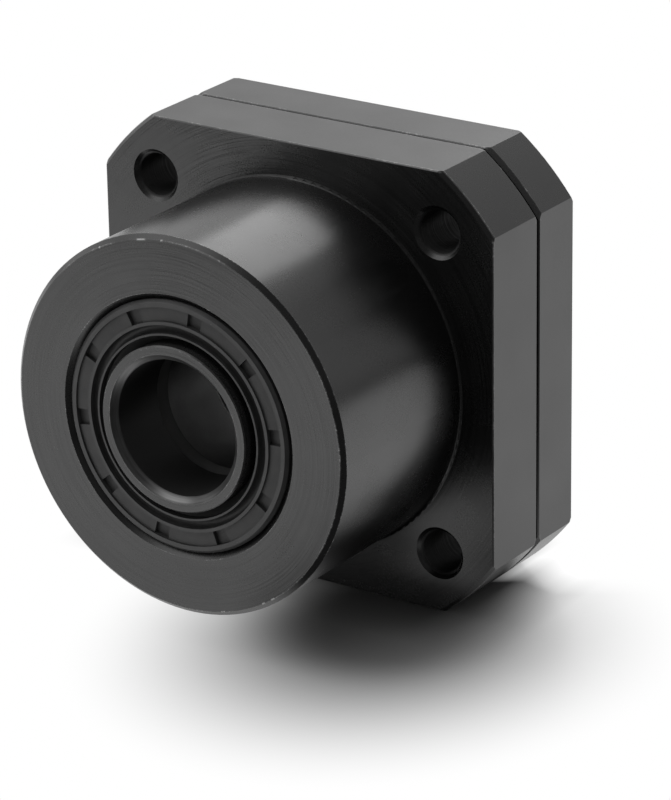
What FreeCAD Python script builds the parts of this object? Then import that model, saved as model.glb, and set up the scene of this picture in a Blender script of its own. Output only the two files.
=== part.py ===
import FreeCAD, Part
import math
import os

# Ball screw end support, flange type, for a 20 mm journal.
# A turned steel housing holds two angular contact ball bearings, mounted face to face.
# A lid clamps their outer rings, and an oil seal at each end runs on a steel collar.
# All sizes are in millimetres.
# The bore lies along Y, the nose points to -Y and Z is up.
# The origin is on the bore axis, in the front face of the flange, which is the face that
# seats on the machine.

# Housing and flange
NOSE_D = 57.0
NOSE_EDGE = 0.7
ROOT_FILLET = 0.4
FLANGE_ACROSS_FLATS = 68.0
FLANGE_THICKNESS = 12.0
TURNED_EDGE = 0.6
MILLED_EDGE = 0.2
SHOULDER_DEPTH = 10.0
BORE_EDGE = 0.8
RELIEF_WIDTH = 1.0
RELIEF_DEPTH = 0.3

# Lid
LID_GAP = 0.5
LID_THICKNESS = 9.5
SPIGOT_LENGTH = 4.5
SPIGOT_FIT = 0.03

# Mounting holes, with the bolt heads let in from the lid side
BOLT_COUNT = 4
BOLT_FIRST_ANGLE = 45.0
BOLT_HOLE_D = 6.6
BOLT_TO_NOSE = 6.5
BOLT_TO_RIM = 7.5
BOLT_HOLE_EDGE = 0.75
BOLT_HOLE_REAR_EDGE = 0.3
BOLT_HEAD_HOLE_D = 11.0

# Bearings
SHAFT_D = 20.0
BEARING_D = 47.0
BEARING_WIDTH = 14.0
RING_EDGE = 1.0
RING_EDGE_LENGTH = 1.5
BALL_D = 7.938
BALL_COUNT = 11
CONTACT_ANGLE = 30.0
RACE_RATIO = 0.525
RACE_PLAY = 0.03
RACE_SHOULDER = 2.0
RACE_LIP = 0.25
RING_TAPER = 0.2

# Ball cages
CAGE_THICKNESS = 2.4
CAGE_INSET = 1.3
CAGE_EDGE = 0.3
POCKET_PLAY = 0.15

# Collars
COLLAR_WALL = 2.5
COLLAR_PLAY = 0.25
COLLAR_PROUD = 1.0
COLLAR_EDGE = 0.2
COLLAR_MOUTH = 0.9
COLLAR_REAR_EDGE = 0.75

# Oil seals
SEAL_SECTION = 6.5
SEAL_WIDTH = 7.0
SEAL_FIT = 0.02
SEAL_EDGE = 0.45
SEAL_SKIN = 0.5
SEAL_SEAT_WALL = 1.0
SEAL_SEAT_EDGE = 0.9
REAR_SEAL_DEPTH = 3.3
OUTER_RIM = 1.1
INNER_RIM = 0.5
BAND_DEPTH = 0.3
NOTCH_COUNT = 10
NOTCH_FIRST_ANGLE = 6.5
NOTCH_ANGLE = 8.0
NOTCH_DEPTH = 0.6
GROOVE_WIDTH = 1.25
GROOVE_DEPTH = 1.4
LIP_RING_GAP = 1.2
LIP_RING_WALL = 0.3
LIP_PLAY = 0.05
LIP_LAND = 0.25
LIP_SLOPE = 0.8
DUST_LIP_DEPTH = 2.0
MAIN_LIP_DEPTH = 5.0
LIP_HEAD_END = 6.4
WEB_RISE = 0.75
WEB_THICKNESS = 0.75
CASE_SHEET = 0.8
CASE_DEPTH = 1.15
CASE_END = 0.3
SPRING_WIRE_D = 1.1
SPRING_RISE = 2.15
SPRING_DEPTH = 5.3
SPRING_FIT = 0.03

# Screws that hold the lid
SCREW_COUNT = 4
SCREW_D = 4.0
SCREW_LENGTH = 12.0
SCREW_HEAD_D = 7.0
SCREW_HEAD_HEIGHT = 4.0
SCREW_HEAD_SINK = 0.4
SCREW_PLAY = 0.25
SCREW_EDGE = 0.3
THREAD_FIT = 0.02
THREAD_RUNOUT = 2.0
SOCKET_ACROSS_FLATS = 3.0
SOCKET_DEPTH = 2.0
DRILL_POINT_ANGLE = 118.0

# Radii
NOSE_R = NOSE_D / 2
BOLT_CIRCLE_R = NOSE_R + BOLT_TO_NOSE
FLANGE_R = BOLT_CIRCLE_R + BOLT_TO_RIM
FLAT_R = FLANGE_ACROSS_FLATS / 2
BEARING_R = BEARING_D / 2
SCREW_CIRCLE_R = (BEARING_R + FLAT_R) / 2
SHAFT_R = SHAFT_D / 2
COLLAR_R = SHAFT_R + COLLAR_WALL
COLLAR_BORE_R = SHAFT_R + COLLAR_PLAY
SEAL_SEAT_R = COLLAR_R + SEAL_SECTION
SEAL_R = SEAL_SEAT_R - SEAL_FIT
BALL_R = BALL_D / 2
PITCH_R = (SHAFT_R + BEARING_R) / 2
RACE_R = BALL_D * RACE_RATIO

# Places along the bore axis
LID_FRONT_Y = FLANGE_THICKNESS + LID_GAP
REAR_FACE_Y = LID_FRONT_Y + LID_THICKNESS
BEARING_END_Y = LID_FRONT_Y - SPIGOT_LENGTH
SHOULDER_Y = BEARING_END_Y - 2 * BEARING_WIDTH
NOSE_FACE_Y = SHOULDER_Y - SHOULDER_DEPTH
REAR_SEAL_Y = REAR_FACE_Y - REAR_SEAL_DEPTH
SCREW_SEAT_Y = REAR_FACE_Y - SCREW_HEAD_SINK - SCREW_HEAD_HEIGHT
COLLAR_LENGTH = SHOULDER_DEPTH + COLLAR_PROUD

# Cutting tools reach this far past the face that they cut
OVERCUT = 1.0

ORIGIN = FreeCAD.Vector(0, 0, 0)
AXIS = FreeCAD.Vector(0, 1, 0)

# Ways along the axis, for the pieces that are mirrored front to rear
TO_NOSE = -1
TO_LID = 1


def section(points):
    """Closed face in the half plane beside the bore axis.

    A point is a radius and a place along the axis. After the first, each entry is one
    point, for a straight line to it, or a list of two, for an arc through the first to
    the second.
    """
    edges = []
    here = FreeCAD.Vector(*points[0], 0)
    for step in points[1:] + points[:1]:
        if isinstance(step, list):
            middle, end = [FreeCAD.Vector(*point, 0) for point in step]
            edges.append(Part.Arc(here, middle, end).toShape())
        else:
            end = FreeCAD.Vector(*step, 0)
            edges.append(Part.makeLine(here, end))
        here = end
    return Part.Face(Part.Wire(edges))


def turned(points, angle=360):
    """Solid turned about the bore axis from the points of its section."""
    return section(points).revolve(ORIGIN, AXIS, angle)


def facing(points, face_y, way):
    """Section points given by their depth under a face, moved to that face."""
    moved = []
    for point in points:
        if isinstance(point, list):
            moved.append(facing(point, face_y, way))
        else:
            radius, depth = point
            moved.append((radius, face_y + way * depth))
    return moved


def placed(shape, distance, angle):
    """Copy of a shape moved out from the bore axis, at an angle from +X towards +Z."""
    copy = shape.copy()
    copy.translate(FreeCAD.Vector(distance, 0, 0))
    copy.rotate(ORIGIN, AXIS, -angle)
    return copy


def round_pattern(shape, count, distance, first_angle=0.0):
    """Copies of a shape spaced evenly round the bore axis."""
    return [placed(shape, distance, first_angle + 360 / count * k) for k in range(count)]


def cylinder(radius, y_from, y_to):
    """Solid cylinder along the bore axis."""
    return Part.makeCylinder(radius, y_to - y_from, FreeCAD.Vector(0, y_from, 0), AXIS)


def cone(radius_from, radius_to, y_from, y_to):
    """Solid cone along the bore axis."""
    base = FreeCAD.Vector(0, y_from, 0)
    return Part.makeCone(radius_from, radius_to, y_to - y_from, base, AXIS)


def drill_point(radius, y, way):
    """Cone that a drill leaves at the end of a hole."""
    depth = radius / math.tan(math.radians(DRILL_POINT_ANGLE / 2))
    return Part.makeCone(radius, 0, depth, FreeCAD.Vector(0, y, 0), AXIS * way)


def plate(y_from, y_to):
    """Round plate with turned edges, milled to four flats whose edges are just broken."""
    disc = turned([
        (0, y_from),
        (FLANGE_R - TURNED_EDGE, y_from),
        (FLANGE_R, y_from + TURNED_EDGE),
        (FLANGE_R, y_to - TURNED_EDGE),
        (FLANGE_R - TURNED_EDGE, y_to),
        (0, y_to),
    ])
    side = FLANGE_ACROSS_FLATS
    corner = FreeCAD.Vector(-FLAT_R, y_from, -FLAT_R)
    square = Part.makeBox(side, y_to - y_from, side, corner)
    return disc.common(square.makeChamfer(MILLED_EDGE, square.Edges))


def housing():
    """Nose and flange in one piece, with the bearing seat, seal seat and holes."""
    nose = turned([
        (0, NOSE_FACE_Y),
        (NOSE_R - NOSE_EDGE, NOSE_FACE_Y),
        (NOSE_R, NOSE_FACE_Y + NOSE_EDGE),
        (NOSE_R, -ROOT_FILLET),
        [
            (NOSE_R + ROOT_FILLET * (1 - math.sqrt(0.5)), -ROOT_FILLET * (1 - math.sqrt(0.5))),
            (NOSE_R + ROOT_FILLET, 0),
        ],
        (NOSE_R + ROOT_FILLET, FLANGE_THICKNESS / 2),
        (0, FLANGE_THICKNESS / 2),
    ])
    seat_end_y = NOSE_FACE_Y + SEAL_WIDTH
    relief_r = BEARING_R + RELIEF_DEPTH
    bore = turned([
        (0, NOSE_FACE_Y - OVERCUT),
        (SEAL_SEAT_R + SEAL_SEAT_EDGE + OVERCUT, NOSE_FACE_Y - OVERCUT),
        (SEAL_SEAT_R, NOSE_FACE_Y + SEAL_SEAT_EDGE),
        (SEAL_SEAT_R, seat_end_y),
        (SEAL_SEAT_R - SEAL_SEAT_WALL, seat_end_y),
        (SEAL_SEAT_R - SEAL_SEAT_WALL, SHOULDER_Y),
        (relief_r, SHOULDER_Y),
        (relief_r, SHOULDER_Y + RELIEF_WIDTH),
        (BEARING_R, SHOULDER_Y + RELIEF_WIDTH + RELIEF_DEPTH),
        (BEARING_R, FLANGE_THICKNESS - BORE_EDGE),
        (BEARING_R + BORE_EDGE + OVERCUT, FLANGE_THICKNESS + OVERCUT),
        (0, FLANGE_THICKNESS + OVERCUT),
    ])
    body = nose.fuse(plate(0, FLANGE_THICKNESS))
    return body.cut([bore] + bolt_holes() + screw_threads())


def bolt_holes():
    """Mounting holes through the flange, with their edges broken."""
    radius = BOLT_HOLE_D / 2
    front = radius + BOLT_HOLE_EDGE
    rear = radius + BOLT_HOLE_REAR_EDGE
    hole = cylinder(radius, -OVERCUT, FLANGE_THICKNESS + OVERCUT)
    hole = hole.fuse(cone(front, radius, 0, BOLT_HOLE_EDGE))
    hole = hole.fuse(cylinder(front, -OVERCUT, 0))
    hole = hole.fuse(cone(radius, rear, FLANGE_THICKNESS - BOLT_HOLE_REAR_EDGE, FLANGE_THICKNESS))
    return round_pattern(hole, BOLT_COUNT, BOLT_CIRCLE_R, BOLT_FIRST_ANGLE)


def screw_threads():
    """Blind holes in the flange that take the lid screws."""
    radius = SCREW_D / 2 + THREAD_FIT
    end_y = SCREW_SEAT_Y - SCREW_LENGTH - THREAD_RUNOUT
    hole = cylinder(radius, end_y, FLANGE_THICKNESS + OVERCUT)
    hole = hole.fuse(drill_point(radius, end_y, TO_NOSE))
    return round_pattern(hole, SCREW_COUNT, SCREW_CIRCLE_R)


def lid():
    """Square plate whose spigot clamps the outer rings, bored for the rear seal."""
    spigot_r = BEARING_R - SPIGOT_FIT
    spigot = turned([
        (0, BEARING_END_Y),
        (spigot_r - BORE_EDGE, BEARING_END_Y),
        (spigot_r, BEARING_END_Y + BORE_EDGE),
        (spigot_r, LID_FRONT_Y + LID_THICKNESS / 2),
        (0, LID_FRONT_Y + LID_THICKNESS / 2),
    ])
    seat_end_y = REAR_SEAL_Y - SEAL_WIDTH
    bore = turned([
        (0, BEARING_END_Y - OVERCUT),
        (SEAL_SEAT_R - SEAL_SEAT_WALL, BEARING_END_Y - OVERCUT),
        (SEAL_SEAT_R - SEAL_SEAT_WALL, seat_end_y),
        (SEAL_SEAT_R, seat_end_y),
        (SEAL_SEAT_R, REAR_FACE_Y - SEAL_SEAT_EDGE),
        (SEAL_SEAT_R + SEAL_SEAT_EDGE + OVERCUT, REAR_FACE_Y + OVERCUT),
        (0, REAR_FACE_Y + OVERCUT),
    ])
    bolt_hole = cylinder(BOLT_HEAD_HOLE_D / 2, LID_FRONT_Y - OVERCUT, REAR_FACE_Y + OVERCUT)
    screw_hole = cylinder(SCREW_D / 2 + SCREW_PLAY, LID_FRONT_Y - OVERCUT, REAR_FACE_Y)
    head_hole = cylinder(SCREW_HEAD_D / 2 + SCREW_PLAY, SCREW_SEAT_Y, REAR_FACE_Y + OVERCUT)
    cuts = [bore]
    cuts += round_pattern(bolt_hole, BOLT_COUNT, BOLT_CIRCLE_R, BOLT_FIRST_ANGLE)
    cuts += round_pattern(screw_hole.fuse(head_hole), SCREW_COUNT, SCREW_CIRCLE_R)
    return spigot.fuse(plate(LID_FRONT_Y, REAR_FACE_Y)).cut(cuts)


def lid_screws():
    """Socket head cap screws that pull the lid onto the bearings."""
    head_top_y = SCREW_SEAT_Y + SCREW_HEAD_HEIGHT
    tip_y = SCREW_SEAT_Y - SCREW_LENGTH
    shank_r = SCREW_D / 2
    head_r = SCREW_HEAD_D / 2
    screw = turned([
        (0, tip_y),
        (shank_r - 2 * SCREW_EDGE, tip_y),
        (shank_r, tip_y + 2 * SCREW_EDGE),
        (shank_r, SCREW_SEAT_Y),
        (head_r, SCREW_SEAT_Y),
        (head_r, head_top_y - SCREW_EDGE),
        (head_r - SCREW_EDGE, head_top_y),
        (0, head_top_y),
    ])
    floor_y = head_top_y - SOCKET_DEPTH
    corner_r = SOCKET_ACROSS_FLATS / 2 / math.cos(math.radians(30))
    corners = [
        FreeCAD.Vector(corner_r * math.cos(turn), floor_y, corner_r * math.sin(turn))
        for turn in [math.radians(60 * k) for k in range(7)]
    ]
    socket = Part.Face(Part.makePolygon(corners)).extrude(AXIS * (SOCKET_DEPTH + OVERCUT))
    point = drill_point(SOCKET_ACROSS_FLATS / 2, floor_y, TO_NOSE)
    screw = screw.cut([socket, point])
    return Part.makeCompound(round_pattern(screw, SCREW_COUNT, SCREW_CIRCLE_R))


def bearing_ring(side, seat_r, middle_y, way):
    """Outer ring, for side 1, or inner ring, for side -1, of one bearing.

    Its points are depths from the middle of the bearing, towards the end where the outer
    ring's shoulder is high. The groove's centre lies off the ball's, so that the ball
    bears on the contact line.
    """
    half = side * BEARING_WIDTH / 2
    edge = side * RING_EDGE
    edge_end = half - side * RING_EDGE_LENGTH
    lean = math.radians(CONTACT_ANGLE)
    reach = side * (RACE_R - BALL_R - RACE_PLAY)
    centre_r = PITCH_R - reach * math.cos(lean)
    centre_s = -reach * math.sin(lean)
    bottom_r = centre_r + side * RACE_R
    high_r = bottom_r - side * RACE_SHOULDER
    low_r = bottom_r - side * RACE_LIP
    to_high = side * math.sqrt(RACE_R ** 2 - (RACE_R - RACE_SHOULDER) ** 2)
    to_low = side * math.sqrt(RACE_R ** 2 - (RACE_R - RACE_LIP) ** 2)
    return turned(facing([
        (seat_r - edge, -half),
        (seat_r, -edge_end),
        (seat_r, edge_end),
        (seat_r - edge, half),
        (high_r, half),
        (high_r, centre_s + to_high),
        [(bottom_r, centre_s), (low_r, centre_s - to_low)],
        (low_r + side * RING_TAPER, -half),
    ], middle_y, way))


def cage(middle_y):
    """Ring with a round pocket for each ball."""
    half = BEARING_WIDTH / 2 - CAGE_INSET
    inner_r = PITCH_R - CAGE_THICKNESS / 2
    outer_r = PITCH_R + CAGE_THICKNESS / 2
    ring = turned([
        (inner_r + CAGE_EDGE, middle_y - half),
        (outer_r - CAGE_EDGE, middle_y - half),
        (outer_r, middle_y - half + CAGE_EDGE),
        (outer_r, middle_y + half - CAGE_EDGE),
        (outer_r - CAGE_EDGE, middle_y + half),
        (inner_r + CAGE_EDGE, middle_y + half),
        (inner_r, middle_y + half - CAGE_EDGE),
        (inner_r, middle_y - half + CAGE_EDGE),
    ])
    base = FreeCAD.Vector(inner_r - OVERCUT, middle_y, 0)
    length = CAGE_THICKNESS + 2 * OVERCUT
    pocket = Part.makeCylinder(BALL_R + POCKET_PLAY, length, base, FreeCAD.Vector(1, 0, 0))
    return ring.cut(round_pattern(pocket, BALL_COUNT, 0))


def balls(middle_y):
    """The balls of one bearing, from +X round towards +Z."""
    ball = Part.makeSphere(BALL_R)
    ball.translate(FreeCAD.Vector(0, middle_y, 0))
    return round_pattern(ball, BALL_COUNT, PITCH_R)


def collar(bearing_y, way):
    """Ground collar from an inner ring out through the seal, free on the shaft."""
    return turned(facing([
        (COLLAR_BORE_R + COLLAR_REAR_EDGE, 0),
        (COLLAR_R - COLLAR_EDGE, 0),
        (COLLAR_R, COLLAR_EDGE),
        (COLLAR_R, COLLAR_LENGTH - COLLAR_EDGE),
        (COLLAR_R - COLLAR_EDGE, COLLAR_LENGTH),
        (COLLAR_BORE_R + COLLAR_MOUTH, COLLAR_LENGTH),
        (COLLAR_BORE_R, COLLAR_LENGTH - COLLAR_MOUTH),
        (COLLAR_BORE_R, COLLAR_REAR_EDGE),
    ], bearing_y, way))


def seal_case(face_y, way):
    """Pressed steel ring that stiffens a seal."""
    outer_r = SEAL_R - SEAL_SKIN
    inner_r = COLLAR_R + LIP_RING_GAP + LIP_RING_WALL + GROOVE_WIDTH + SEAL_SKIN
    under = CASE_DEPTH + CASE_SHEET
    end = SEAL_WIDTH - CASE_END
    return turned(facing([
        (inner_r, CASE_DEPTH),
        (outer_r, CASE_DEPTH),
        (outer_r, end),
        (outer_r - CASE_SHEET, end),
        (outer_r - CASE_SHEET, under),
        (inner_r, under),
    ], face_y, way))


def seal_rubber(face_y, way):
    """Moulded rubber of a seal: skin, recessed band with notches, dust lip and main lip."""
    lip_r = COLLAR_R + LIP_PLAY
    ring_inner_r = COLLAR_R + LIP_RING_GAP
    ring_outer_r = ring_inner_r + LIP_RING_WALL
    groove_r = ring_outer_r + GROOVE_WIDTH
    band_inner_r = groove_r + INNER_RIM
    band_outer_r = SEAL_R - OUTER_RIM
    case_outer_r = SEAL_R - SEAL_SKIN
    case_inner_r = groove_r + SEAL_SKIN
    case_under = CASE_DEPTH + CASE_SHEET
    groove_turn = GROOVE_DEPTH - GROOVE_WIDTH / 2
    web_inner_r = lip_r + WEB_RISE
    web_outer_r = web_inner_r + WEB_THICKNESS
    web_top = case_under + WEB_THICKNESS
    spring_r = COLLAR_R + SPRING_RISE
    seat = SPRING_WIRE_D / 2 + SPRING_FIT
    rubber = turned(facing([
        (SEAL_R, SEAL_EDGE),
        (SEAL_R - SEAL_EDGE, 0),
        (band_outer_r, 0),
        (band_outer_r, BAND_DEPTH),
        (band_inner_r, BAND_DEPTH),
        (band_inner_r, 0),
        (groove_r, 0),
        (groove_r, groove_turn),
        [((groove_r + ring_outer_r) / 2, GROOVE_DEPTH), (ring_outer_r, groove_turn)],
        (ring_outer_r, 0),
        (ring_inner_r, 0),
        (ring_inner_r, DUST_LIP_DEPTH - LIP_SLOPE),
        (lip_r, DUST_LIP_DEPTH),
        (lip_r, DUST_LIP_DEPTH + LIP_LAND),
        (web_inner_r, DUST_LIP_DEPTH + LIP_LAND + LIP_SLOPE),
        (web_inner_r, MAIN_LIP_DEPTH - 2 * LIP_SLOPE),
        (lip_r, MAIN_LIP_DEPTH),
        (lip_r + LIP_SLOPE, LIP_HEAD_END),
        (spring_r, LIP_HEAD_END),
        (spring_r, SPRING_DEPTH + seat),
        [(spring_r - seat, SPRING_DEPTH), (spring_r, SPRING_DEPTH - seat)],
        (web_outer_r, SPRING_DEPTH - 2 * seat),
        (web_outer_r, web_top),
        (case_inner_r, case_under),
        (case_inner_r, CASE_DEPTH),
        (case_outer_r, CASE_DEPTH),
        (case_outer_r, SEAL_WIDTH),
        (SEAL_R - SEAL_EDGE, SEAL_WIDTH),
        (SEAL_R, SEAL_WIDTH - SEAL_EDGE),
    ], face_y, way))
    notch = turned(facing([
        (band_inner_r, BAND_DEPTH / 2),
        (band_outer_r, BAND_DEPTH / 2),
        (band_outer_r, BAND_DEPTH + NOTCH_DEPTH),
        (band_inner_r, BAND_DEPTH + NOTCH_DEPTH),
    ], face_y, way), NOTCH_ANGLE)
    first = NOTCH_FIRST_ANGLE + NOTCH_ANGLE / 2
    return rubber.cut(round_pattern(notch, NOTCH_COUNT, 0, first))


def garter_spring(face_y, way):
    """Closed ring of coiled wire that presses the main lip onto the collar."""
    centre = FreeCAD.Vector(0, face_y + way * SPRING_DEPTH, 0)
    return Part.makeTorus(COLLAR_R + SPRING_RISE, SPRING_WIRE_D / 2, centre, AXIS)


def end_pieces(end, face_y, way_in, bearing_y):
    """Seal and collar at one end of the housing."""
    return {
        end + "_seal_case": seal_case(face_y, way_in),
        end + "_seal_rubber": seal_rubber(face_y, way_in),
        end + "_seal_spring": garter_spring(face_y, way_in),
        end + "_collar": collar(bearing_y, -way_in),
    }


def bearing_pieces(end, middle_y, way_out):
    """Rings, cage and balls of the bearing at one end."""
    pieces = {
        end + "_bearing_outer_ring": bearing_ring(1, BEARING_R, middle_y, way_out),
        end + "_bearing_inner_ring": bearing_ring(-1, SHAFT_R, middle_y, way_out),
        end + "_bearing_cage": cage(middle_y),
    }
    for number, ball in enumerate(balls(middle_y), start=1):
        pieces["%s_bearing_ball_%02d" % (end, number)] = ball
    return pieces


def all_pieces():
    """Every piece of the support unit, by name."""
    pieces = {
        "housing": housing(),
        "lid": lid(),
        "lid_screws": lid_screws(),
    }
    pieces.update(end_pieces("front", NOSE_FACE_Y, TO_LID, SHOULDER_Y))
    pieces.update(end_pieces("rear", REAR_SEAL_Y, TO_NOSE, BEARING_END_Y))
    pieces.update(bearing_pieces("front", SHOULDER_Y + BEARING_WIDTH / 2, TO_NOSE))
    pieces.update(bearing_pieces("rear", BEARING_END_Y - BEARING_WIDTH / 2, TO_LID))
    return pieces


os.makedirs("parts", exist_ok=True)
for name, shape in all_pieces().items():
    shape.exportStep("parts/" + name + ".step")
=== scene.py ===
import math

import bmesh
import bpy
from mathutils import Matrix, Vector

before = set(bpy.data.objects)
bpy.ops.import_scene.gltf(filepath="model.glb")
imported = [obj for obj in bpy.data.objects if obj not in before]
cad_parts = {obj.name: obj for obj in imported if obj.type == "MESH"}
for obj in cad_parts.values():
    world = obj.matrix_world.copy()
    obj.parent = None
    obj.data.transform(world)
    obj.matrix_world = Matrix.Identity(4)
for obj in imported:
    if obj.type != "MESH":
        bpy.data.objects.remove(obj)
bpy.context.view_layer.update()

scene = bpy.context.scene
scene.view_settings.view_transform = "Standard"

FLOOR_Z = -0.034

# Sizes of the part in millimetres, for marks that follow its form
HALF_FLATS = 34.0
CORNER_R = 42.5
NOSE_R, NOSE_Y, NOSE_EDGE = 28.5, -30.0, 0.7
SEAL_SEAT_R = 19.9
FLANGE_END = 12.0
LID_START, LID_END = 12.5, 22.0
TURNED_EDGE, MILLED_EDGE = 0.6, 0.2
BOLT_PLACE, BOLT_R = 24.75, 3.3
COLLAR_R, COLLAR_BORE_R = 12.5, 10.25
COLLAR_MOUTH, COLLAR_BACK_EDGE = 0.9, 0.75
SHAFT_R, RING_EDGE_R = 10.0, 11.0
BALLS = 11


# Camera: a long lens on the photograph's viewing direction, in the 671 x 800 frame
AZIMUTH, ELEVATION, ROLL = map(math.radians, (34.31, 21.53, -0.94))
FOCAL_PX = 4205.3
FRAME_PX, SENSOR_MM = 800, 36
OFFSET = Vector((-0.00568, -0.00542, 0.61815))

back = Vector((
    math.sin(AZIMUTH) * math.cos(ELEVATION),
    -math.cos(AZIMUTH) * math.cos(ELEVATION),
    math.sin(ELEVATION),
))
right = (-back).cross(Vector((0, 0, 1))).normalized()
down = (-back).cross(right)
turn, lean = math.cos(ROLL), math.sin(ROLL)
side = turn * right - lean * down
down = lean * right + turn * down
place = -(side * OFFSET.x + down * OFFSET.y - back * OFFSET.z)
camera = bpy.data.objects.new("camera", bpy.data.cameras.new("camera"))
camera.data.lens = FOCAL_PX / FRAME_PX * SENSOR_MM
camera.data.clip_start = 0.01
camera.data.clip_end = 20
camera.matrix_world = Matrix.Translation(place) @ Matrix((side, -down, back)).transposed().to_4x4()
scene.collection.objects.link(camera)
scene.camera = camera


# Node helpers

class Net:
    """Short names for the nodes of one material. Lengths inside are millimetres."""

    def __init__(self, name):
        self.material = bpy.data.materials.new(name)
        self.material.use_nodes = True
        self.tree = self.material.node_tree
        self.shader = self.tree.nodes["Principled BSDF"]
        where = self.node("ShaderNodeTexCoord")
        scale = self.node("ShaderNodeVectorMath", operation="SCALE")
        scale.inputs["Scale"].default_value = 1000
        self.link(where.outputs["Object"], scale.inputs[0])
        self.place = scale.outputs["Vector"]
        split = self.node("ShaderNodeSeparateXYZ")
        self.link(self.place, split.inputs[0])
        self.x, self.y, self.z = split.outputs
        self.radius = self.length(self.x, self.z)
        split = self.node("ShaderNodeSeparateXYZ")
        self.link(where.outputs["Normal"], split.inputs[0])
        self.face = self.ramp(self.abs(split.outputs["Y"]), 0.7, 0.9)

    def node(self, kind, **settings):
        made = self.tree.nodes.new(kind)
        for key, value in settings.items():
            setattr(made, key, value)
        return made

    def link(self, source, target):
        self.tree.links.new(source, target)

    def put(self, value, socket):
        if isinstance(value, bpy.types.NodeSocket):
            self.link(value, socket)
        else:
            socket.default_value = value

    def math(self, operation, a, b=0.0):
        made = self.node("ShaderNodeMath", operation=operation)
        for value, socket in zip((a, b), made.inputs):
            self.put(value, socket)
        return made.outputs[0]

    def chain(self, operation, values):
        total = values[0]
        for value in values[1:]:
            total = self.math(operation, total, value)
        return total

    def add(self, *values):
        return self.chain("ADD", values)

    def times(self, *values):
        return self.chain("MULTIPLY", values)

    def most(self, *values):
        return self.chain("MAXIMUM", values)

    def less(self, a, b):
        return self.math("SUBTRACT", a, b)

    def abs(self, value):
        return self.math("ABSOLUTE", value)

    def length(self, a, b):
        return self.math("SQRT", self.add(self.times(a, a), self.times(b, b)))

    def ramp(self, value, low, high, to_low=0.0, to_high=1.0, kind="LINEAR"):
        made = self.node("ShaderNodeMapRange", clamp=True, interpolation_type=kind)
        for given, socket in zip((value, low, high, to_low, to_high), made.inputs):
            self.put(given, socket)
        return made.outputs[0]

    def fall(self, value, low, high):
        """1 up to low, 0 from high on."""
        return self.ramp(value, low, high, 1.0, 0.0)

    def mix(self, share, a, b):
        """Plain blend of two values."""
        made = self.node("ShaderNodeMix", data_type="FLOAT")
        for value, name in ((share, "Factor"), (a, "A"), (b, "B")):
            self.put(value, made.inputs[name])
        return made.outputs["Result"]

    def texture(self, socket, vector, scale, detail, roughness, dimensions="3D"):
        made = self.node("ShaderNodeTexNoise", noise_dimensions=dimensions)
        self.link(vector, made.inputs[socket])
        for name, value in (("Scale", scale), ("Detail", detail), ("Roughness", roughness)):
            made.inputs[name].default_value = value
        return made.outputs["Fac"]

    def noise(self, size, detail=2.0, stretch=(1, 1, 1), roughness=0.5, offset=0.0):
        """Noise with features about as large as size, stretched along the axes."""
        mapped = self.node("ShaderNodeMapping", vector_type="POINT")
        mapped.inputs["Scale"].default_value = [1 / s / size for s in stretch]
        mapped.inputs["Location"].default_value = (offset, offset, offset)
        self.link(self.place, mapped.inputs["Vector"])
        return self.texture("Vector", mapped.outputs[0], 1.0, detail, roughness)

    def line_noise(self, value, size, detail=3.0):
        """Noise along one coordinate, as the marks of a turning tool."""
        return self.texture("W", value, 1 / size, detail, 0.6, "1D")

    def arc_noise(self, value, size, arcs=3.0, offset=0.0):
        """Noise in long arcs round the bore axis, changing with value every size."""
        around = self.node("ShaderNodeCombineXYZ")
        for across, socket in zip((self.x, self.z), around.inputs):
            share = self.math("DIVIDE", across, self.radius)
            self.link(self.times(share, arcs), socket)
        self.link(self.add(self.math("DIVIDE", value, size), offset), around.inputs["Z"])
        return self.texture("Vector", around.outputs[0], 1.0, 2.0, 0.5)

    def near_ring(self, radius, y, width):
        """1 on a circle about the bore axis, falling to 0 at a width from it."""
        gap = self.length(self.less(self.radius, radius), self.less(self.y, y))
        return self.fall(gap, width * 0.4, width)

    def fade_from(self, x, y, near, far, reach=1.0):
        """0 near a point of the floor, rising to 1 far from it, later on the camera's side."""
        north = self.less(self.y, y)
        north = self.most(north, self.times(north, -reach))
        return self.ramp(self.length(self.less(self.x, x), north), near, far, kind="SMOOTHSTEP")

    def bump(self, height, distance):
        """Relief on the surface. Only here the distance is in metres."""
        made = self.node("ShaderNodeBump")
        made.inputs["Distance"].default_value = distance
        made.inputs["Strength"].default_value = 1.0
        self.link(height, made.inputs["Height"])
        self.link(made.outputs["Normal"], self.shader.inputs["Normal"])

    def grey(self, value, tint=(1.0, 1.0, 1.0)):
        made = self.node("ShaderNodeCombineColor")
        for share, socket in zip(tint, made.inputs):
            self.put(value if share == 1.0 else self.times(value, share), socket)
        self.link(made.outputs[0], self.shader.inputs["Base Color"])

    def rough(self, value):
        self.link(value, self.shader.inputs["Roughness"])


# Materials

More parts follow.
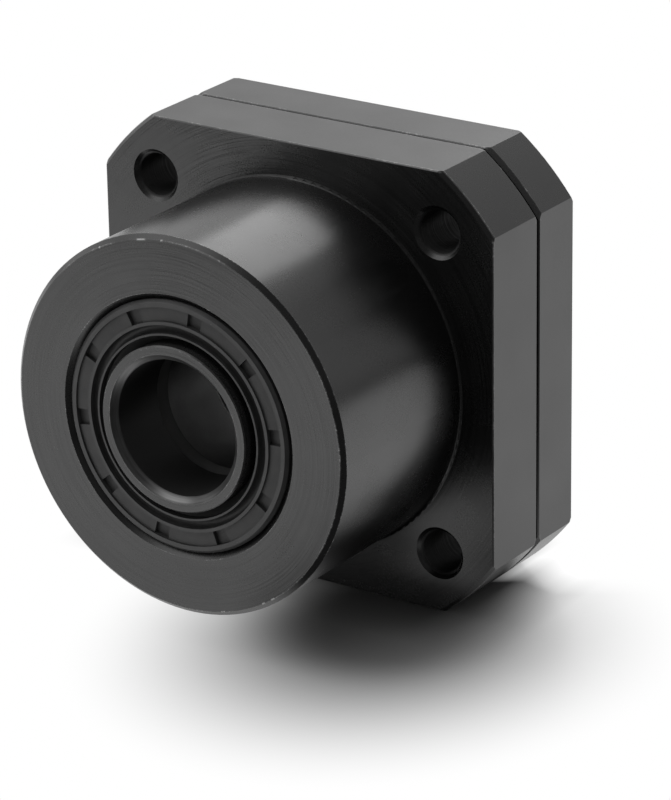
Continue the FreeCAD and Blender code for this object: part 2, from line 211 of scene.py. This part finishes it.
class BlackSteel(Net):
    """Black oxide on steel: turning marks follow faces and rounds, edges are rubbed bright in
    spots and carry painted highlight lines.

    Rings are circles about the bore axis that are worn in spots and carry a painted highlight
    line, each a radius, a place along the axis and a width. Edges are places along the axis where
    the flats end, each with the share of worn spots and painted highlight kept on the upright
    flats' edge there. Chips are knocks on the first ring, each an angle and a half length in
    degrees. Ground holds a collar's mouth and rim, each as a ring.
    """

    def __init__(self, name, rings=(), edges=(), chips=(), ground=()):
        super().__init__(name)
        self.outside = self.most(self.abs(self.x), self.abs(self.z))
        self.flat = self.times(
            self.ramp(self.outside, HALF_FLATS - 0.3, HALF_FLATS - 0.1),
            self.fall(self.face, 0.4, 0.6))
        self.patches = self.noise(9.0, 3.0)
        self.fine = self.noise(0.35, 3.0)
        across = [self.less(self.abs(value), BOLT_PLACE) for value in (self.x, self.z)]
        self.hole = self.fall(self.length(*across), BOLT_R + 0.1, BOLT_R + 0.3)
        self.ends = self.ramp(self.abs(self.y), FLANGE_END, FLANGE_END + 6.0)
        self.face_marks = self.add(
            self.times(self.arc_noise(self.radius, 0.26, 1.6), 2.5),
            self.times(self.arc_noise(self.radius, 0.9, 2.0, 40.0), 1.6))
        self.bump(self.marks(ground), 0.0000034)
        base = self.wear_and_highlights(self.oxide(), rings, edges)
        if chips:
            base = self.knocks(base, rings[0], chips)
        rough = self.add(
            self.ramp(self.patches, 0.3, 0.7, 0.24, 0.29),
            self.times(self.flat, 0.06),
            self.times(self.less(self.fine, 0.5), 0.06))
        # Painted shade: bolt holes and the collar bore get a darker base inside, and a duller
        # finish
        bore = self.fall(self.radius, COLLAR_BORE_R + 0.05, COLLAR_BORE_R + 0.25)
        for inside, level, dull in ((self.hole, 0.004, 0.6), (bore, 0.006, 0.5)):
            base = self.mix(inside, base, level)
            rough = self.mix(inside, rough, dull)
        if ground:
            mouth, rim = [self.near_ring(*ring) for ring in ground]
            base = self.mix(rim, base, self.ramp(self.patches, 0.3, 0.7, 0.03, 0.05))
            base = self.mix(mouth, base, self.ramp(self.face_marks, 1.5, 2.6, 0.14, 0.24))
            rough = self.mix(mouth, rough, 0.32)
            self.link(mouth, self.shader.inputs["Metallic"])
        self.grey(base)
        self.rough(rough)
        self.shader.inputs["IOR"].default_value = 1.75
        self.shader.inputs["Anisotropic"].default_value = 0.6
        self.shader.inputs["Anisotropic Rotation"].default_value = 0.25
        tangent = self.node("ShaderNodeTangent", direction_type="RADIAL", axis="Y")
        self.link(tangent.outputs[0], self.shader.inputs["Tangent"])

    def marks(self, ground):
        """Height of tool marks, grain and pits."""
        round_marks = self.times(self.add(
            self.arc_noise(self.y, 0.15), self.arc_noise(self.y, 0.7, 2.0, 40.0)), 0.7)
        depth = self.mix(self.ends, self.ramp(self.z, -10.0, 5.0, 2.5, 8.0), 4.2)
        marks = self.mix(self.face, round_marks, self.times(self.face_marks, depth))
        marks = self.times(marks, self.ramp(self.patches, 0.3, 0.7, 0.45, 1.0))
        marks = self.mix(self.flat, marks, self.noise(0.12, 2.0, stretch=(1, 14, 1)))
        marks = self.mix(self.hole, marks, self.times(self.line_noise(self.y, 0.5, 1.0), 12.0))
        height = self.add(marks, self.times(self.fine, 0.3))
        if ground:
            smooth = self.ramp(self.radius, COLLAR_BORE_R + 0.15, COLLAR_BORE_R + 0.55)
            return self.times(height, smooth)
        pits = self.times(
            self.ramp(self.noise(0.5, 1.0, offset=9.0), 0.79, 0.82),
            self.ramp(self.noise(8.0, 1.0, offset=13.0), 0.45, 0.60))
        return self.less(height, self.times(pits, 7.0))

    def oxide(self):
        """Level of the oxide: nearly black, paler in turned arcs and on specks, with painted
        light: a lift towards the bottom of the faces, a highlight line at the flange's front
        rounds and light on the chamfers beside the flange-lid gap.
        """
        cloud = self.times(
            self.noise(0.8, 3.0, offset=11.0), self.ramp(self.patches, 0.35, 0.7), 0.005)
        streaks = self.times(
            self.face,
            self.mix(self.ends, 0.3, 1.0),
            self.ramp(self.arc_noise(self.radius, 0.4, 0.9, 80.0), 0.40, 0.54, 0.0, 0.027),
            self.ramp(self.noise(6.0, 2.0, offset=5.0), 0.3, 0.7, 0.5, 1.0))
        # Painted light: faces are paler towards the bottom, as if lit from below
        painted_floor_lift = self.times(self.face, self.ramp(self.z, -32.0, -23.0, 0.045, 0.0))
        specks = self.times(self.ramp(self.noise(0.2, 1.0, offset=3.0), 0.78, 0.82), 0.12)
        # Painted highlight: a thin pale line all round where the flange's front chamfer meets its
        # rounds
        painted_round_highlight = self.times(
            self.ramp(self.radius, CORNER_R - 0.16, CORNER_R - 0.10),
            self.ramp(self.y, TURNED_EDGE - 0.05, TURNED_EDGE + 0.05, 0.14, 0.0))
        # Painted light on the chamfers of flange and lid beside the gap between them, at the
        # rounds
        from_seam = self.abs(self.less(self.y, (FLANGE_END + LID_START) / 2))
        half = (LID_START - FLANGE_END) / 2 + TURNED_EDGE
        painted_seam_light = self.times(
            self.ramp(self.radius, CORNER_R - 0.7, CORNER_R - 0.6),
            self.ramp(from_seam, half - 0.05, half + 0.05, 0.05, 0.0))
        base = self.add(0.009, cloud, streaks, self.times(self.flat, 0.012), painted_floor_lift, specks)
        return self.add(base, self.add(painted_round_highlight, painted_seam_light))

    def wear_and_highlights(self, base, rings, edges):
        """Rubbed metal along rings and edges in spots, painted pale as glints, and a faint painted
        highlight all along them, stronger on the flats' edges.
        """
        ends = []
        upright = self.less(self.abs(self.x), self.abs(self.z))
        for y, share in edges:
            side = self.times(
                self.ramp(self.outside, HALF_FLATS - 0.3, HALF_FLATS - 0.15),
                self.ramp(upright, -1.0, 1.0, 1.0, share))
            ends.append(self.times(side, self.fall(self.abs(self.less(self.y, y)), 0.05, 0.15)))
        lines = [self.near_ring(*ring) for ring in rings] + ends
        if lines:
            grain = self.ramp(self.noise(0.4, 4.0, roughness=0.7), 0.52, 0.62, 0.2, 1.0)
            spread = self.ramp(self.noise(5.0, 2.0, offset=7.0), 0.46, 0.60, 0.12, 1.0)
            # Worn spots painted pale for their glints; spread and grain never reach 0, so a faint
            # painted highlight runs all along the lines
            base = self.mix(self.times(self.most(*lines), self.times(spread, grain)), base, 0.6)
        if ends:
            # Painted highlight: a pale line along the flats' edges
            base = self.add(base, self.times(self.most(*ends), 0.09))
        return base

    def knocks(self, base, ring, chips):
        """Bare metal where the ring was knocked, painted near white as its glints."""
        radius, y, width = ring
        turned = self.times(self.math("ARCTAN2", self.z, self.x), 180 / math.pi)
        spans = [
            self.fall(self.abs(self.less(turned, angle)), half * 0.6, half)
            for angle, half in chips
        ]
        chips_and_glints = self.times(
            self.most(*spans),
            self.near_ring(radius, y, width * 1.2),
            self.ramp(self.fine, 0.3, 0.42))
        # Real chips, painted near white as a painted glint
        return self.mix(chips_and_glints, base, 0.9)


def black_steel(name, **wear_and_highlights):
    return BlackSteel(name, **wear_and_highlights).material


def collar_steel(name, face_y, inner_y, outward):
    """Black steel of a collar. Outward is 1 or -1, the way its face looks along the axis."""
    mouth_middle = COLLAR_MOUTH / 2
    return black_steel(
        name,
        rings=[
            (COLLAR_R - 0.2, face_y, 0.14),
            (COLLAR_BORE_R + COLLAR_MOUTH, face_y, 0.12),
            (COLLAR_BORE_R, inner_y + outward * COLLAR_BACK_EDGE, 0.10),
        ],
        ground=[
            (COLLAR_BORE_R + mouth_middle, face_y - outward * mouth_middle, 0.85),
            (COLLAR_R, face_y - outward * 0.7, 0.9),
        ],
    )


def plain_steel(name, level, rough, bore=None):
    """Ground or drawn steel with fine marks round its axis. A bore is darker by that share as
    painted shade, and its chamfer keeps twice that share.
    """
    net = Net(name)
    lines = net.mix(net.face, net.line_noise(net.y, 0.07), net.line_noise(net.radius, 0.07))
    net.bump(net.add(lines, net.noise(0.25, 2.0)), 0.0000012)
    base = net.times(level, net.ramp(net.noise(3.0, 3.0), 0.3, 0.7, 0.88, 1.08))
    finish = net.ramp(lines, 0.3, 0.7, rough * 0.85, rough * 1.15)
    if bore:
        wall = (net.radius, SHAFT_R + 0.02, SHAFT_R + 0.06)
        edge = (net.radius, RING_EDGE_R + 0.1, RING_EDGE_R + 0.3)
        # Painted shade in the bore: the wall is darker by the share, the chamfer keeps twice it
        base = net.times(
            base, net.ramp(*wall, bore, bore * 2.0), net.ramp(*edge, 1.0, 0.5 / bore))
        finish = net.add(finish, net.times(net.fall(*edge), net.ramp(*wall, 0.14, 0.28)))
    net.grey(base)
    net.rough(finish)
    net.shader.inputs["Metallic"].default_value = 1.0
    return net.material


def rubber(name, face_y):
    """Moulded nitrile rubber: shiny rims in the seal's face, a dull grained band between them."""
    net = Net(name)
    grain = net.noise(0.09, 3.0, roughness=0.6)
    net.bump(grain, 0.0000035)
    rim = net.fall(net.abs(net.less(net.y, face_y)), 0.05, 0.15)
    skin = net.add(net.ramp(net.noise(2.5, 2.0), 0.3, 0.7, 0.06, 0.085), net.times(rim, -0.01))
    dust = net.ramp(net.noise(0.18, 1.0, offset=5.0), 0.74, 0.80)
    nicks = net.times(rim, net.ramp(net.noise(0.3, 1.0, offset=15.0), 0.70, 0.75))
    net.grey(net.add(skin, net.times(net.most(dust, nicks), 0.15)))
    net.rough(net.less(net.ramp(grain, 0.3, 0.7, 0.48, 0.60), net.times(rim, 0.2)))
    net.shader.inputs["IOR"].default_value = 1.55
    return net.material


def plastic(name, low, high, tint):
    """Moulded polyamide with a dull skin."""
    net = Net(name)
    grain = net.noise(0.15, 3.0)
    net.bump(grain, 0.000003)
    net.grey(net.ramp(net.noise(2.0, 2.0), 0.3, 0.7, low, high), tint)
    net.rough(net.ramp(grain, 0.3, 0.7, 0.38, 0.5))
    return net.material


def dress(material, *names):
    for name in names:
        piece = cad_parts[name]
        piece.data.materials.clear()
        piece.data.materials.append(material)


def plate_rings(start, end):
    """The worn edges of a plate's rounds, with a painted highlight line, between two places along
    the axis.
    """
    return [(CORNER_R, start + TURNED_EDGE, 0.12), (CORNER_R, end - TURNED_EDGE, 0.12)]


housing_steel = black_steel(
    "housing_steel",
    rings=[
        (NOSE_R - NOSE_EDGE, NOSE_Y, 0.16),
        (NOSE_R, NOSE_Y + NOSE_EDGE, 0.12),
        (SEAL_SEAT_R, NOSE_Y, 0.08),
        *plate_rings(0.0, FLANGE_END),
    ],
    edges=[(MILLED_EDGE, 0.6), (FLANGE_END - MILLED_EDGE, 0.1)],
    chips=[(101.0, 1.9), (93.4, 0.6), (117.0, 0.4), (-55.0, 0.9), (-59.0, 0.7), (-75.0, 0.9)],
)
lid_steel = black_steel(
    "lid_steel",
    rings=plate_rings(LID_START, LID_END),
    edges=[(LID_START + MILLED_EDGE, 0.1), (LID_END - MILLED_EDGE, 0.1)],
)
screw_steel = black_steel("screw_steel")
front_collar_steel = collar_steel("front_collar_steel", face_y=-31.0, inner_y=-20.0, outward=-1)
rear_collar_steel = collar_steel("rear_collar_steel", face_y=19.0, inner_y=8.0, outward=1)
inner_ring_steel = plain_steel("inner_ring_steel", level=0.42, rough=0.28, bore=0.33)
bearing_steel = plain_steel("bearing_steel", level=0.42, rough=0.26)
sheet_steel = plain_steel("sheet_steel", level=0.45, rough=0.35)
spring_steel = plain_steel("spring_steel", level=0.5, rough=0.3)
front_rubber = rubber("front_rubber", face_y=NOSE_Y)
rear_rubber = rubber("rear_rubber", face_y=18.7)
cage_plastic = plastic("cage_plastic", low=0.5, high=0.62, tint=(1.0, 0.86, 0.62))

dress(housing_steel, "housing")
dress(lid_steel, "lid")
dress(screw_steel, "lid_screws")
dress(front_collar_steel, "front_collar")
dress(rear_collar_steel, "rear_collar")
dress(front_rubber, "front_seal_rubber")
dress(rear_rubber, "rear_seal_rubber")
for end in ("front", "rear"):
    dress(sheet_steel, end + "_seal_case")
    dress(spring_steel, end + "_seal_spring")
    dress(cage_plastic, end + "_bearing_cage")
    dress(inner_ring_steel, end + "_bearing_inner_ring")
    dress(bearing_steel, end + "_bearing_outer_ring")
    dress(bearing_steel, *["%s_bearing_ball_%02d" % (end, k) for k in range(1, BALLS + 1)])


# Floor and light

def floor_glow_and_painted_shadow(net, glossy):
    """Share and strength of the floor's white, which leaves out a painted outline of the object's
    shadow.

    Mirrored rays see a painted shadow of another outline, painted shade on the floor to the right
    and far in front, and a white a little dimmer near the object, as the photograph's reflections
    show it.
    """
    # Painted shadow outline: the white is left out around these points, and the floor's own
    # shading shows inside
    seen = net.times(
        net.fade_from(22.5, -11.0, 6.0, 45.0, reach=0.85), net.fade_from(18.0, -4.0, 6.0, 26.0))
    fade = net.mix(glossy, seen, net.fade_from(2.0, -16.0, 4.0, 15.0))

    # Under the flange and lid the white is left out too, as painted shadow
    beside = net.ramp(net.abs(net.x), 28.0, net.mix(glossy, 40.0, 42.0))
    start, end = net.mix(glossy, -10.0, -15.0), net.mix(glossy, 20.0, 15.0)
    along = net.times(
        net.ramp(net.y, start, net.add(start, net.mix(glossy, 12.0, 7.0))),
        net.fall(net.y, end, net.add(end, net.mix(glossy, 12.0, 4.0))))
    fade = net.times(fade, net.mix(along, 1.0, beside))

    # Behind on the right, where the photograph's shadow ends along a line: the edge of the painted
    # shadow there
    behind = net.add(net.times(net.x, -0.563), net.times(net.y, 0.826))
    lit = net.less(behind, net.ramp(net.x, 29.5, 36.0, -4.0, -9.0))
    lit = net.times(
        net.ramp(lit, 0.0, net.ramp(net.x, 28.0, 33.0, 9.0, 6.0)), net.ramp(net.x, 24.0, 27.0))
    fade = net.mix(net.times(lit, net.less(1.0, glossy)), fade, 1.0)

    # Painted shade that only mirrored rays see: dark parts of the floor
    right = net.less(net.x, net.ramp(net.y, -44.0, -38.0, -2.0, 14.0))
    bearing = net.math("ARCTAN2", net.add(net.y, 20.0), net.x)
    dark = net.times(net.ramp(right, 0.0, 9.0), net.fall(bearing, 0.1, 0.4))
    dark = net.times(net.most(dark, net.fall(net.y, -300.0, -190.0)), glossy)

    # Painted shade: mirrored rays see the white a little dimmer near the object
    painted_near_shade = net.add(0.8, net.times(net.fade_from(10.0, -10.0, 25.0, 75.0), 0.2))
    strength = net.times(net.mix(glossy, 1.0, painted_near_shade), net.ramp(dark, 0.0, 1.0, 1.0, 0.07))
    return net.most(fade, dark), strength


def floor():
    """Pale floor. Away from the object it is plain white; near it the object's shadow stays,
    inside a painted outline and with a painted shadow under the flange's lower edge.
    """
    mesh = bpy.data.meshes.new("floor")
    made = bmesh.new()
    bmesh.ops.create_grid(made, x_segments=1, y_segments=1, size=2.5)
    made.to_mesh(mesh)
    made.free()
    sheet = bpy.data.objects.new("floor", mesh)
    sheet.location.z = FLOOR_Z
    scene.collection.objects.link(sheet)
    net = Net("floor")
    # Painted shadow: the floor's colour is darker under the flange's lower edge
    painted_contact_shadow = net.times(
        net.ramp(net.x, -12.0, 4.0), net.fall(net.x, 24.0, 32.0), net.ramp(net.y, -12.0, -1.0))
    net.grey(net.ramp(painted_contact_shadow, 0.0, 1.0, 0.5, 0.22))
    net.rough(net.ramp(net.noise(6.0, 3.0), 0.3, 0.7, 0.28, 0.36))
    path = net.node("ShaderNodeLightPath")
    glossy = net.most(path.outputs["Is Glossy Ray"], path.outputs["Is Transmission Ray"])
    share, strength = floor_glow_and_painted_shadow(net, glossy)
    glow = net.node("ShaderNodeEmission")
    # Painted shade: rays after their first bounce see the floor's white dimmer
    painted_bounce_shade = net.ramp(path.outputs["Ray Depth"], 1.0, 2.0, 1.0, 0.4)
    net.link(net.times(strength, painted_bounce_shade), glow.inputs["Strength"])
    both = net.node("ShaderNodeMixShader")
    seen = net.most(path.outputs["Is Camera Ray"], glossy)
    net.link(net.times(seen, share), both.inputs[0])
    net.link(net.shader.outputs[0], both.inputs[1])
    net.link(glow.outputs[0], both.inputs[2])
    net.link(both.outputs[0], net.tree.nodes["Material Output"].inputs["Surface"])
    mesh.materials.append(net.material)


def area_light(name, place, width, height, radiance):
    """Softbox aimed at the object."""
    data = bpy.data.lights.new(name, "AREA")
    data.shape = "RECTANGLE"
    data.size, data.size_y = width, height
    data.energy = radiance * math.pi * width * height
    lamp = bpy.data.objects.new(name, data)
    aim = (-Vector(place)).to_track_quat("-Z", "Y").to_matrix().to_4x4()
    lamp.matrix_world = Matrix.Translation(place) @ aim
    scene.collection.objects.link(lamp)


# The room's bright side, its levels from the dark side to the bright one, and a darker
# band near the floor: from height, to height, share there and share above.
BRIGHT_SIDE = (-0.8, 0.6, 0.0)
LEVELS = ((-0.45, 0.10), (-0.12, 0.50), (0.5, 0.60), (0.85, 1.0))
LOW_BAND = (0.02, 0.11, 0.30, 1.0)


def studio():
    """Room that is bright on the left and behind, grey on the right and dark behind the camera."""
    world = bpy.data.worlds.new("studio")
    scene.world = world
    world.use_nodes = True
    nodes, links = world.node_tree.nodes, world.node_tree.links
    where = nodes.new("ShaderNodeTexCoord")
    side = nodes.new("ShaderNodeVectorMath")
    side.operation = "DOT_PRODUCT"
    side.inputs[1].default_value = BRIGHT_SIDE
    links.new(where.outputs["Generated"], side.inputs[0])
    move = nodes.new("ShaderNodeMapRange")
    move.inputs["From Min"].default_value = -1.0
    links.new(side.outputs["Value"], move.inputs["Value"])
    ramp = nodes.new("ShaderNodeValToRGB")
    stops = ramp.color_ramp.elements
    while len(stops) < len(LEVELS):
        stops.new(0.5)
    for stop, (at, level) in zip(stops, LEVELS):
        stop.position = (at + 1) / 2
        stop.color = (level, level, level, 1)
    links.new(move.outputs[0], ramp.inputs[0])
    split = nodes.new("ShaderNodeSeparateXYZ")
    links.new(where.outputs["Generated"], split.inputs[0])
    low = nodes.new("ShaderNodeMapRange")
    for value, socket in zip(LOW_BAND, list(low.inputs)[1:5]):
        socket.default_value = value
    links.new(split.outputs["Z"], low.inputs["Value"])
    dim = nodes.new("ShaderNodeVectorMath")
    dim.operation = "SCALE"
    links.new(ramp.outputs[0], dim.inputs[0])
    links.new(low.outputs[0], dim.inputs["Scale"])
    path = nodes.new("ShaderNodeLightPath")
    white = nodes.new("ShaderNodeMix")
    white.data_type = "RGBA"
    links.new(path.outputs["Is Camera Ray"], white.inputs["Factor"])
    links.new(dim.outputs[0], white.inputs[6])
    white.inputs[7].default_value = (1, 1, 1, 1)
    links.new(white.outputs[2], nodes["Background"].inputs["Color"])


floor()
studio()
area_light("softbox_back", (-0.15, 0.548, 0.563), width=0.40, height=0.62, radiance=1.62)
area_light("softbox_left", (-0.42, -0.30, 0.62), width=0.50, height=0.50, radiance=0.64)
